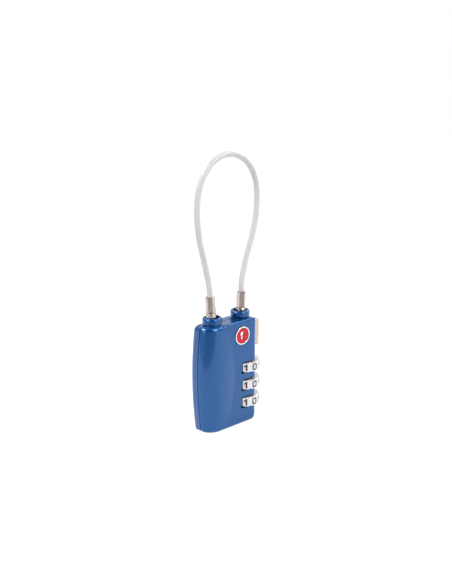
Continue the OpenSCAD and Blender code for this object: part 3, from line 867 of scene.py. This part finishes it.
def end_length(end):
    """Distance along an end's axis from its pivot to the ferrule's top."""
    return (end[3] - end[1]) / math.cos(end[2])


def make_ferrule(name, node, body, end, turn, wave, looks):
    """A round band with a tube above it that is crimped to a hexagon; the rim is uneven by wave."""
    sides = 96
    angles = np.linspace(0, 2 * math.pi, sides, endpoint=False)
    from_flat = np.abs((angles - turn) % (math.pi / 3) - math.pi / 6)
    length = end_length(end)
    start = length - FERRULE_H
    crimp = start + 4.4
    rim = wave * (np.cos(3 * (angles - turn)) + 0.4 * np.cos(5 * (angles - turn) + 1))

    def ring(radius, z):
        return np.stack([radius * np.cos(angles), radius * np.sin(angles), z + 0 * angles], 1)

    def hexagon(z, slack):
        """Crimped tube: flats that grow out of the round tube over the first millimetre."""
        flat = 2.12 + 0.5 * (1 - ramp(crimp, crimp + 0.9, z))
        return np.minimum(np.minimum(2.42, flat / np.cos(np.pi / 6 - from_flat)) - slack, 2.42 - slack)

    rings = [ring(2.25, start), ring(2.5, start + 0.2), ring(2.55, start + 0.4), ring(2.55, crimp - 0.35),
             ring(2.5, crimp - 0.15), ring(2.42, crimp - 0.02)]
    rings += [ring(hexagon(z, 0), z) for z in np.linspace(crimp, crimp + 1.0, 9)]
    rings += [ring(hexagon(length, 0), z) for z in np.linspace(crimp + 1.4, length - 0.6, 8)]
    rings += [ring(hexagon(length, s), length - d + rim) for s, d in ((0, 0.25), (0.06, 0.08), (0.2, 0))]
    rings += [ring(1.92, length + rim), ring(1.78, length - 0.12 + rim)]
    rings += [ring(1.73, length - 0.4), ring(1.73, length - 2)]
    points, faces = loft(rings)
    ferrule = add_mesh(name, along_end(end, points), faces, looks["crimp"], sharp=24)
    show(ferrule, body, "crimp_nickel", node)


# ---------- cable ----------

def cable_line():
    """The cable's centreline: a fair curve through the route, with a point about every 0.4 mm,
    from inside one ferrule to inside the other."""
    ends = []
    for end in (FIXED_END, FREE_END):
        ends.append([along_end(end, [(0, 0, end_length(end) + rise)])[0] for rise in (-1.6, 0, 1.5)])
    points = np.array(ends[0] + [(x, 0, z) for x, z in ROUTE] + ends[1][::-1])
    padded = np.concatenate([[2 * points[0] - points[1]], points, [2 * points[-1] - points[-2]]])
    curve = []
    for p0, p1, p2, p3 in zip(padded, padded[1:], padded[2:], padded[3:]):
        for t in np.linspace(0, 1, 40, endpoint=False):
            curve.append((2 * p1 + (p2 - p0) * t + (2 * p0 - 5 * p1 + 4 * p2 - p3) * t ** 2
                          + (3 * p1 - p0 - 3 * p2 + p3) * t ** 3) / 2)
    return even_steps(fair(even_steps(np.array(curve + [points[-1]]), 0.4)), 0.4)


def even_steps(curve, step):
    """The same curve with points at even distances of about the step."""
    along = np.concatenate([[0], np.cumsum(np.linalg.norm(np.diff(curve, axis=0), axis=1))])
    places = np.linspace(0, along[-1], int(round(along[-1] / step)) + 1)
    return np.stack([np.interp(places, along, curve[:, i]) for i in range(3)], 1)


def fair(curve, passes=40):
    """Smooths the curve between its straight ends."""
    held = 10
    for _ in range(passes):
        inner = (curve[:-2] + 2 * curve[1:-1] + curve[2:]) / 4
        curve[held:-held] = inner[held - 1:len(inner) - held + 1]
    return curve


def sweep(name, line, radius, sides, material):
    """Tube along the line whose section turns with the rope's lay; its UV map "rope" has
    millimetres along the line and turns around it. radius is a function of the turns."""
    along = np.concatenate([[0], np.cumsum(np.linalg.norm(np.diff(line, axis=0), axis=1))])
    tangent = np.gradient(line, axis=0)
    tangent /= np.linalg.norm(tangent, axis=1)[:, None]
    side = np.array([0, 1.0, 0])
    turns = np.arange(sides) / sides
    reach = radius(turns)
    rings = []
    for place, point, ahead in zip(along, line, tangent):
        angle = 2 * math.pi * (turns + place / LAY)
        out = np.cross(ahead, side)
        rings.append(point + reach[:, None] * (np.cos(angle)[:, None] * side + np.sin(angle)[:, None] * out))
    points, faces = loft(rings)
    piece = add_mesh(name, points, faces, material)
    uv = piece.data.uv_layers.new(name="rope")
    values = []
    for i in range(len(line) - 1):
        for k in range(sides):
            values += [along[i], k / sides, along[i], (k + 1) / sides,
                       along[i + 1], (k + 1) / sides, along[i + 1], k / sides]
    values += [0.0] * (len(uv.data) * 2 - len(values))
    uv.data.foreach_set("uv", values)
    return piece


def strand_radius(turns):
    """Outline of the rope: round strands side by side."""
    strand_r, ring_r = 0.52, 1.06
    off = (turns * STRANDS % 1 - 0.5) * 2 * math.pi / STRANDS
    return ring_r * np.cos(off) + np.sqrt(strand_r ** 2 - (ring_r * np.sin(off)) ** 2)


def make_cable(looks):
    """The rope and its clear jacket, along a fixed curve from the case to the pulled-out end."""
    line = cable_line()
    rope = sweep("cable_strands", line, strand_radius, 8 * STRANDS, looks["rope"])
    tube = sweep("cable_jacket", line, lambda turns: np.full(len(turns), CABLE_D / 2), 32, looks["jacket"])
    for piece in (rope, tube):
        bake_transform(piece)
    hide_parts("cable")


# ---------- inner pieces ----------

def make_spring(node, axis, radius, wire, turns, looks):
    """Coil spring that stands in the case, in the place of its CAD node."""
    low, high = corners(node)
    t = np.linspace(0, 1, 24 * turns + 1)
    turn = 2 * math.pi * turns * t
    across, over = np.delete(np.eye(3), axis, axis=0)
    out = np.cos(turn)[:, None] * across + np.sin(turn)[:, None] * over
    line = (low + high) / 2 + radius * out
    line[:, axis] = low[axis] + wire + (high[axis] - low[axis] - 2 * wire) * t
    ahead = np.gradient(line, axis=0)
    aside = np.cross(ahead / np.linalg.norm(ahead, axis=1)[:, None], out)
    angles = np.linspace(0, 2 * math.pi, 12, endpoint=False)
    rings = [point + wire * (np.cos(angles)[:, None] * o + np.sin(angles)[:, None] * a)
             for point, o, a in zip(line, out, aside)]
    points, faces = loft(rings)
    spring = add_mesh(node + "_coil", points, faces, looks["steel"], sharp=60)
    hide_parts(node)
    start, end = (low + high) / 2 * SCALE, (low + high) / 2 * SCALE
    start[axis], end[axis] = low[axis] * SCALE, high[axis] * SCALE
    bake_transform(spring)


def make_springs(looks):
    """The three return springs."""
    make_spring("spindle_spring", 2, 1.1, 0.2, 4, looks)
    make_spring("ejector_spring", 2, 2.0, 0.25, 3, looks)
    make_spring("button_spring", 0, 1.2, 0.22, 4, looks)


INNER = {
    "clutch_top": "black", "clutch_middle": "black", "clutch_bottom": "black",
    "spindle": "nickel", "detent_spring": "steel", "latch_slider": "zinc",
    "anchor_pin": "nickel", "plug_pin": "nickel", "ejector_cup": "brass",
    "key_housing": "zinc", "key_plug": "zinc", "key_wafers": "brass", "key_cam": "brass",
    "reset_slider": "black",
}


def finish_inner_pieces(looks):
    """The CAD pieces that keep their own shape get their materials."""
    for node, look in INNER.items():
        mesh = frame["nodes"][node].data
        mesh.materials.clear()
        mesh.materials.append(looks[look])


# ---------- room ----------

def add_light(name, azimuth, elevation, distance, size, power):
    """Soft square lamp that points at the middle of the padlock."""
    data = bpy.data.lights.new(name, "AREA")
    data.shape, data.size, data.energy = "SQUARE", size, power
    lamp = bpy.data.objects.new(name, data)
    turn, rise = math.radians(azimuth), math.radians(elevation)
    way = Vector((math.cos(turn) * math.cos(rise), math.sin(turn) * math.cos(rise), math.sin(rise)))
    lamp.location = Vector((0, 0, 0.05)) + way * distance
    lamp.rotation_euler = way.to_track_quat("Z", "Y").to_euler()
    lamp.visible_camera = False
    bpy.context.scene.collection.objects.link(lamp)


SOFTBOXES = (
    ("back_left_softbox", 105, 48, 1.0), ("left_softbox", 160, 48, 5.0), ("front_softbox", 278, 42, 3.4),
    ("right_softbox", 320, 35, 1.0), ("back_right_softbox", 0, 35, 2.0),
    ("low_left_softbox", 185, 8, 1.4), ("low_front_softbox", 276, 6, 0.9),
)


LAMP_DISTANCE = 0.8     # of each softbox from the padlock, in metres
LAMP_SIZE = 0.35
FLOOR_HALF = 9000
FADE_START = 112        # the floor's reflected glow fades out towards the front left,
FADE_END = 140          # between these distances from the padlock
FRONT_LEFT = (-0.819, -0.574, 0)
AWAY = (0.668, 0.744, 0)    # from the camera to the padlock, level


def make_floor():
    """Pale floor, white to the camera. The lacquer reflects no white floor from the front left."""
    pale = Finish("pale_floor", Roughness=0.8, Emission_Color=(1, 1, 1, 1))
    pale.colour(pale.mixed(pale.ranged(pale.noise(0.01), 0, 1), (0.30, 0.30, 0.30), (0.32, 0.32, 0.32)))
    toward = pale.node("VectorMath", operation="DOT_PRODUCT")
    toward.inputs[1].default_value = FRONT_LEFT
    pale.link(pale.place(1), toward.inputs[0])
    reflected = pale.ranged(toward.outputs["Value"], 0.8, 0.0, FADE_START, FADE_END)
    seen = pale.ranged(pale.node("LightPath").outputs["Is Camera Ray"], 0, 0.8, 0, 1)
    glow = pale.node("Math", operation="MAXIMUM")
    pale.link(reflected, glow.inputs[0])
    pale.link(seen, glow.inputs[1])
    pale.link(glow.outputs[0], pale.shader.inputs["Emission Strength"])
    corners_of_floor = [(x, y, 0) for x, y in ((-FLOOR_HALF, -FLOOR_HALF), (FLOOR_HALF, -FLOOR_HALF),
                                               (FLOOR_HALF, FLOOR_HALF), (-FLOOR_HALF, FLOOR_HALF))]
    floor = add_mesh("floor", corners_of_floor, [(0, 1, 2, 3)], pale.material)


def make_world():
    """Surroundings that are white to the camera, and dimmer on its side for light and reflections."""
    world = bpy.data.worlds.new("studio")
    world.use_nodes = True
    tree = world.node_tree
    where = tree.nodes.new("ShaderNodeTexCoord")
    toward = tree.nodes.new("ShaderNodeVectorMath")
    toward.operation = "DOT_PRODUCT"
    toward.inputs[1].default_value = AWAY
    spread = tree.nodes.new("ShaderNodeMapRange")
    for name, number in (("From Min", -0.7), ("From Max", 0.9), ("To Min", 0.12), ("To Max", 1.0)):
        spread.inputs[name].default_value = number
    tree.links.new(where.outputs["Generated"], toward.inputs[0])
    tree.links.new(toward.outputs["Value"], spread.inputs["Value"])
    brighter = tree.nodes.new("ShaderNodeMath")
    brighter.operation = "MAXIMUM"
    tree.links.new(spread.outputs["Result"], brighter.inputs[0])
    tree.links.new(tree.nodes.new("ShaderNodeLightPath").outputs["Is Camera Ray"], brighter.inputs[1])
    tree.links.new(brighter.outputs["Value"], tree.nodes["Background"].inputs["Strength"])
    tree.nodes["Background"].inputs["Color"].default_value = (1, 1, 1, 1)
    bpy.context.scene.world = world


def make_room():
    """Floor, soft lamps and surroundings."""
    make_floor()
    for name, azimuth, elevation, power in SOFTBOXES:
        add_light(name, azimuth, elevation, LAMP_DISTANCE, LAMP_SIZE, power)
    make_world()
    bpy.context.scene.view_settings.view_transform = "Standard"


make_camera()
looks = make_materials()
make_cable(looks)
make_case(looks)
make_collars(looks)
make_badge(looks)
make_screws(looks)
make_dials(looks)
make_button(looks)
make_ferrule("fixed_crimp", "fixed_ferrule", "case", FIXED_END, math.radians(48), 0.22, looks)
make_ferrule("free_crimp", "free_ferrule", "free_end", FREE_END, math.radians(58), 0.03, looks)
make_springs(looks)
finish_inner_pieces(looks)
make_room()
